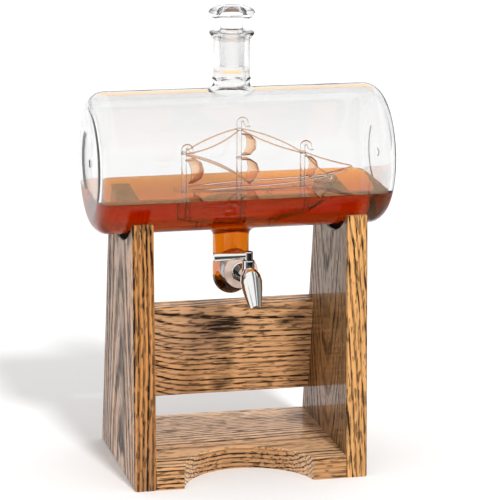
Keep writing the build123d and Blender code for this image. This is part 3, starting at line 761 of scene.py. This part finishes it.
def make_floor():
    """Pale floor, with dark zones in what glass and steel mirror of it."""
    tree = material_tree("floor")
    grain = tree.remap(tree.noise(tree.place(), scale=8.0), *MOST)
    seen = tree.principled({
        "Base Color": tree.blend(grain, (0.95, 0.95, 0.95), (0.93, 0.93, 0.93)),
        "Roughness": 0.9,
        "Specular IOR Level": 0.1,
    })
    path = tree.node("ShaderNodeLightPath").outputs
    for ray, near in (("Is Glossy Ray", 1.0), ("Is Singular Ray", 0.2)):
        glow = {"Color": mirrored_floor(tree, near), "Strength": 1.0}
        share = tree.minus(path[ray], path["Is Transmission Ray"], clamp=True)
        seen = tree.mix_shaders(share, seen, tree.node("ShaderNodeEmission", glow))
    mesh = bpy.data.meshes.new("floor")
    low, high = -FLOOR_HALF, FLOOR_HALF
    corners = [(low, low, 0), (high, low, 0), (high, high, 0), (low, high, 0)]
    mesh.from_pydata(corners, [], [(0, 1, 2, 3)])
    floor = new_object("floor", mesh)
    paint(floor, tree.finish(seen))


# World, with zones that only mirroring and bending surfaces show. A zone is a range of one
# component of the direction and the brightness at its two ends, or a range alone as above.

SKY_BEFORE = (-0.45, -0.25, 0.12, 1.0)
SKY_BESIDE = (0.55, 0.7, 1.0, 0.3)
SKY_FRONT_TOP = (0.30, 0.55)
SKY_BEHIND = (0.70, 0.85, 1.0, 0.1)
SKY_BEHIND_TOP = (0.05, 0.15)

# Dark strips high up as sharp mirrors show them (sideways direction, brightness), and their foot
STRIPS = (
    (-1.0, 1.0), (0.10, 1.0), (0.16, 0.26), (0.38, 0.22),
    (0.45, 1.0), (0.53, 1.0), (0.60, 0.2), (1.0, 0.2),
)
STRIPS_FOOT = (0.40, 0.50, 1.0, 0.0)

# What glass bends: darker to the sides, above and below
BENT_SIDEWAYS = (0.78, 0.93, 1.0, 0.5)
BENT_UP = (0.80, 0.95, 1.0, 0.5)
BENT_DOWN = (-0.9, -0.7, 0.3, 1.0)

# Warm light low behind, for the rays that leave the glass backwards and a little upwards
WARM_COLOUR = (1.4, 0.85, 0.42)
WARM_BOTTOM = (0.12, 0.17)
WARM_TOP = (0.33, 0.38, 1.0, 0.0)
WARM_BEHIND = (0.80, 0.86)
WARM_LEFT = (-0.02, 0.03)
WARM_RIGHT = (0.40, 0.46, 1.0, 0.0)


def make_world():
    """Even light, plain white to the camera, with zones in what glass and steel mirror and bend."""
    tree = Tree(bpy.data.worlds.new("studio"))
    x, y, z = tree.parts(tree.node("ShaderNodeTexCoord").outputs["Generated"])
    high_up = tree.remap(z, *SKY_FRONT_TOP)
    mirrored = tree.times(
        tree.larger(tree.remap(y, *SKY_BEFORE), high_up),
        tree.larger(tree.remap(x, *SKY_BESIDE), high_up),
        tree.larger(tree.remap(y, *SKY_BEHIND), tree.remap(z, *SKY_BEHIND_TOP)),
    )
    strips = tree.ramp(
        tree.remap(x, -1.0, 1.0), [((sideways + 1) / 2, level) for sideways, level in STRIPS]
    )
    strips = tree.larger(strips, tree.remap(z, *STRIPS_FOOT))
    bent = tree.times(
        tree.remap(tree.math("ABSOLUTE", x), *BENT_SIDEWAYS),
        tree.remap(z, *BENT_UP),
        tree.remap(z, *BENT_DOWN),
    )
    rising = tree.times(
        tree.remap(z, *WARM_BOTTOM),
        tree.remap(z, *WARM_TOP),
        tree.remap(y, *WARM_BEHIND),
        tree.remap(x, *WARM_LEFT),
        tree.remap(x, *WARM_RIGHT),
    )
    warm = tree.blend(rising, WHITE, WARM_COLOUR)
    even = {"Color": WORLD_COLOUR, "Strength": WORLD_STRENGTH}
    seen = tree.node("ShaderNodeBackground", even)
    path = tree.node("ShaderNodeLightPath").outputs
    for ray, zone in (
        ("Is Camera Ray", (*WHITE, 1.0)),
        ("Is Glossy Ray", mirrored),
        ("Is Singular Ray", tree.times(mirrored, strips)),
        ("Is Transmission Ray", tree.blend(1.0, warm, bent, "MULTIPLY")),
    ):
        sky = tree.node("ShaderNodeBackground", {"Color": zone, "Strength": 1.0})
        seen = tree.mix_shaders(path[ray], seen, sky)
    bpy.context.scene.world = tree.finish(seen, kind="ShaderNodeOutputWorld")


def make_key():
    """Soft sun from high before the stand, left out of what glass and steel mirror and bend."""
    data = bpy.data.lights.new("key", "SUN")
    data.angle = math.radians(KEY_SPREAD)
    data.energy = KEY_POWER
    lamp = new_object("key", data)
    lamp.matrix_world = Vector(KEY_WAY).to_track_quat("-Z", "Y").to_matrix().to_4x4()
    lamp.visible_glossy = False
    lamp.visible_transmission = False


make_camera()

# Oak boards: colours between the pores and in them, a stain on the left side, and on the rail three
# stains and an upright darker band

GOLD = ((0.94, 0.47, 0.16), (0.030, 0.014, 0.005))
DEEP = ((0.56, 0.24, 0.07), (0.010, 0.006, 0.003))
TAN = ((0.92, 0.51, 0.24), (0.022, 0.010, 0.004))
PALE = ((1.0, 0.62, 0.34), (0.020, 0.010, 0.004))
LEFT_STAINS = (
    (0.080, -0.011, 0.060, 0.009, 0.75),
)
RAIL_MARKS = (
    (0.001, 0.088, 0.015, 0.010, 1.5),
    (-0.068, 0.086, 0.010, 0.009, 1.3),
    (0.053, 0.090, 0.012, 0.007, 0.8),
    # An upright darker band down the middle of the rail, below the first stain
    (0.002, 0.060, 0.009, 0.045, 0.8),
)

# The faces tints are painted light and shade: a lighter, greyer sheen on the sides of the left board,
# shade on the sides of the right board, shade on the front and back of the shelf
left_oak = oak(
    "left_oak", grain="Z", pith=(-0.185, 0.002), tilt=-0.05, ring=0.0030, colours=DEEP,
    dark_marks=LEFT_STAINS, blotches=0.4, film=0.7, late=0.6, faces=("X", (1.15, 1.2, 1.3)),
)
right_oak = oak(
    "right_oak", grain="Z", pith=(0.160, 0.008), tilt=-0.10, ring=0.0028, colours=GOLD,
    film=0.7, faces=("X", (0.5, 0.52, 0.5)),
)
rail_oak = oak(
    "rail_oak", grain="X", pith=(0.026, 0.102), tilt=0.03, ring=0.0038, colours=TAN,
    dark_marks=RAIL_MARKS, bend=(-0.02, 7.0), blotches=0.15,
)
shelf_oak = oak(
    "shelf_oak", grain="X", pith=(-0.02, 0.060), tilt=0.04, ring=0.0030, colours=PALE,
    blotches=0.15, film=0.7, late=0.4, faces=("Y", (0.62, 0.5, 0.36)),
)

# Nodes that keep their own mesh

MATT_BLACK = (0.012, 0.012, 0.012)
SEAL_BLACK = (0.03, 0.03, 0.03)
PALE_PINK = (0.90, 0.70, 0.60)
silicone = rubber("silicone", PALE_PINK, transmission=0.2, roughness=0.3, gloss=0.5)
for node, material in (
    ("left_side", left_oak),
    ("right_side", right_oak),
    ("back_rail", rail_oak),
    ("base_shelf", shelf_oak),
    ("saddle_pad_left", rubber("pad_rubber", MATT_BLACK, gloss=0.0)),
    ("saddle_pad_right", rubber("pad_rubber_right", MATT_BLACK, gloss=0.0)),
    ("shank_washer", steel("washer_steel")),
    ("shank_nut", steel("nut_steel")),
    ("valve_seal", rubber("seal_rubber", SEAL_BLACK)),
    ("tap_bung", silicone),
):
    paint(frame["nodes"][node], material)

# Nodes that a smooth skin stands for

BARREL_TINT = (0.93, 0.93, 0.93)
vessel_glass = clear_glass("vessel_glass", SOCKET_ZONE, BARREL_TINT)
stopper_glass = clear_glass("stopper_glass", PLUG_ZONE)
# The second colour of each drawn glass is the painted shade at its outline
ship_glass = drawn_glass("ship_glass", core=(1.0, 0.98, 0.95), outline_shade=(0.10, 0.035, 0.010))
stay_glass = drawn_glass("stay_glass", core=(0.84, 0.58, 0.36), outline_shade=(0.04, 0.012, 0.004))
sail_glass = drawn_glass(
    "sail_glass", core=(0.98, 0.70, 0.48), outline_shade=(0.62, 0.15, 0.02), roughness=0.12
)
tap_steel = steel("tap_steel")
body_steel = steel("body_steel", dullness=0.0)
skin("glass_vessel", vessel_glass, GLASS_ANGLE, is_vessel=True)
for node, material, angle in (
    ("stopper", stopper_glass, GLASS_ANGLE),
    ("ship_hull", ship_glass, ROD_ANGLE),
    ("gunwale_rails", ship_glass, ROD_ANGLE),
    ("masts", ship_glass, ROD_ANGLE),
    ("bowsprit", stay_glass, ROD_ANGLE),
    ("stays", stay_glass, ROD_ANGLE),
    ("sails", sail_glass, SAIL_ANGLE),
    ("tap_flange", tap_steel, STEEL_ANGLE),
    ("tap_bonnet", tap_steel, STEEL_ANGLE),
    ("valve_plug", tap_steel, STEEL_ANGLE),
    ("lever_bar", tap_steel, STEEL_ANGLE),
    ("tap_body", body_steel, STEEL_ANGLE),
):
    skin(node, material, angle)
make_drink()

make_floor()
make_world()
make_key()
bpy.context.scene.view_settings.view_transform = "Standard"
